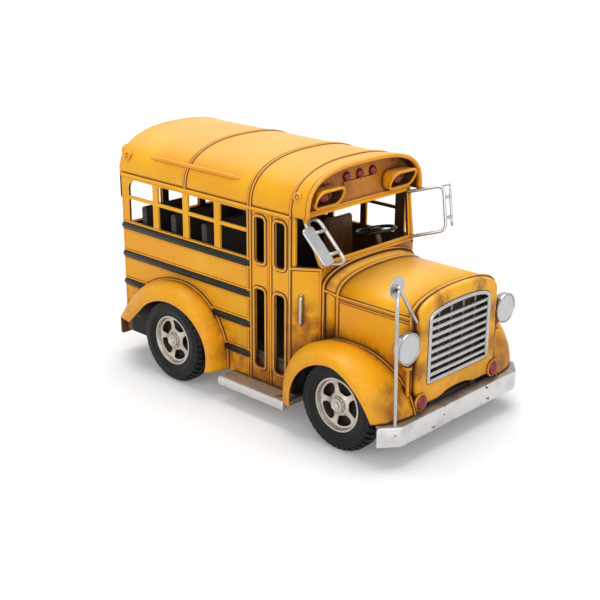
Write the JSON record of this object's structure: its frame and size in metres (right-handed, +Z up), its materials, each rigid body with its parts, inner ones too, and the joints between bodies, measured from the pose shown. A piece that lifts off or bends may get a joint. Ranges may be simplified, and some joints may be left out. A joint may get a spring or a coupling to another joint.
{
  "type": "toy bus",
  "caption": "Old-style toy bus in painted tinplate with a vaulted roof, open windows, folding-door panel, round fenders, slotted grille and free-rolling wheels on solid axles.",
  "frame": {"origin": "middle of the overall box, on the ground under the tyres", "axes": "+X forward along the bus, +Y to the driver's side, +Z up"},
  "size_m": [0.171, 0.0958, 0.1049],
  "materials": {
    "yellow_paint": "satin enamel with brown patina",
    "black_paint": "satin black enamel",
    "silver_paint": "worn silver paint",
    "mirror_plate": "dull plate",
    "red_lamp": "glossy dark red",
    "headlight_lens": "pale grey disc",
    "dark_paint": "dark brown paint",
    "seat": "matte brown",
    "axle_steel": "plain steel rod",
    "wheel_metal": "tarnished silver",
    "tyre": "dark rubber"
  },
  "bodies": {
    "bus_body": {"right_side_panel": "yellow_paint", "left_side_panel": "yellow_paint", "rear_panel": "yellow_paint", "right_corner_panel": "yellow_paint", "left_corner_panel": "yellow_paint", "door_rear_leaf": "yellow_paint", "door_front_leaf": "yellow_paint", "windshield_frame": "yellow_paint", "front_header": "yellow_paint", "roof_shell": "yellow_paint", "roof_ribs": "yellow_paint", "drip_rails": "yellow_paint", "right_sash_bars": "yellow_paint", "left_sash_bars": "yellow_paint", "lamp_hoods": "yellow_paint", "button_lamps": "yellow_paint", "cowl": "yellow_paint", "hood_top": "yellow_paint", "hood_right_side": "yellow_paint", "hood_left_side": "yellow_paint", "radiator_shell": "yellow_paint", "right_front_fender": "yellow_paint", "left_front_fender": "yellow_paint", "right_rear_fender": "yellow_paint", "left_rear_fender": "yellow_paint", "right_rub_rails": "black_paint", "left_rub_rails": "black_paint", "grille_backing": "black_paint", "steering_wheel": "black_paint", "grille": "silver_paint", "front_bumper": "silver_paint", "rear_bumper": "silver_paint", "right_running_board": "silver_paint", "left_running_board": "silver_paint", "headlight_buckets": "silver_paint", "right_mirror_arm": "silver_paint", "left_mirror_arm": "silver_paint", "hood_mirror_arm": "silver_paint", "grab_handle": "silver_paint", "right_mirror": "mirror_plate", "left_mirror": "mirror_plate", "hood_mirror": "mirror_plate", "warning_lamps": "red_lamp", "marker_lamps": "red_lamp", "signal_lamps": "red_lamp", "headlight_lenses": "headlight_lens", "chassis_frame": "dark_paint", "floor_pan": "dark_paint", "dashboard": "dark_paint", "steering_column": "dark_paint", "driver_seat": "seat", "bench_seats": "seat"},
    "front_wheelset": {"front_axle": "axle_steel", "front_right_wheel": "wheel_metal", "front_left_wheel": "wheel_metal", "front_tyres": "tyre"},
    "rear_wheelset": {"rear_axle": "axle_steel", "rear_right_wheel": "wheel_metal", "rear_left_wheel": "wheel_metal", "rear_tyres": "tyre"}
  },
  "joints": [
    {"name": "front_wheels_roll", "type": "hinge", "parent": "bus_body", "child": "front_wheelset", "pos_m": [0.058, 0, 0.019], "axis": [0, 1, 0], "continuous": true},
    {"name": "rear_wheels_roll", "type": "hinge", "parent": "bus_body", "child": "rear_wheelset", "pos_m": [-0.038, 0, 0.019], "axis": [0, 1, 0], "continuous": true}
  ]
}
